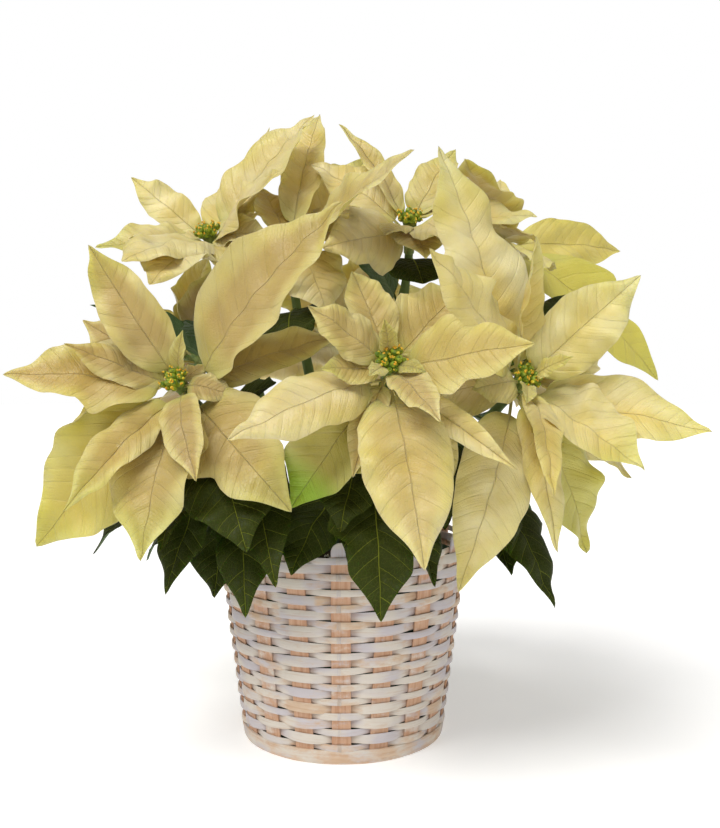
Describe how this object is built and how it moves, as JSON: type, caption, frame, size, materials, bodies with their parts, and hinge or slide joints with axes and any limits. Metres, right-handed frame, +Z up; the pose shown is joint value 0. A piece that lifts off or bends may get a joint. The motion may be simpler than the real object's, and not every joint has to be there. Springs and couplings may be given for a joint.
{
  "type": "potted poinsettia",
  "caption": "Cream poinsettia, a full dome of pointed bracts over dark green leaves, growing in a pot inside a round whitewashed woven wood basket.",
  "frame": {"origin": "middle of the basket's underside, where the basket stands on its surface", "axes": "+Z up, -Y towards the front that the picture shows, +X to the right as seen from the front"},
  "size_m": [0.465, 0.4304, 0.4574],
  "materials": {
    "whitewashed_wood": "chip wood with a thin worn whitewash",
    "base_board": "raw",
    "pot_plastic": "matte",
    "potting_mix": "loose and moist",
    "green_leaf": "satin leaf",
    "cream_bract": "soft matte petal",
    "flower_cup": "satin"
  },
  "bodies": {
    "root": {"basket_wall": "whitewashed_wood", "basket_hoop": "whitewashed_wood", "basket_base": "base_board", "grower_pot": "pot_plastic", "potting_mix": "potting_mix", "plant_left": "green_leaf", "plant_middle": "green_leaf", "plant_right": "green_leaf", "bracts_front": "cream_bract", "bracts_left": "cream_bract", "bracts_right": "cream_bract", "bracts_top_left": "cream_bract", "bracts_top_front": "cream_bract", "bracts_top_back": "cream_bract", "bracts_top_right": "cream_bract", "bracts_side_left": "cream_bract", "bracts_side_right": "cream_bract", "bracts_back": "cream_bract", "cups_front": "flower_cup", "cups_left": "flower_cup", "cups_right": "flower_cup", "cups_top_left": "flower_cup", "cups_top_front": "flower_cup", "cups_top_back": "flower_cup", "cups_top_right": "flower_cup", "cups_side_left": "flower_cup", "cups_side_right": "flower_cup", "cups_back": "flower_cup"}
  },
  "joints": []
}
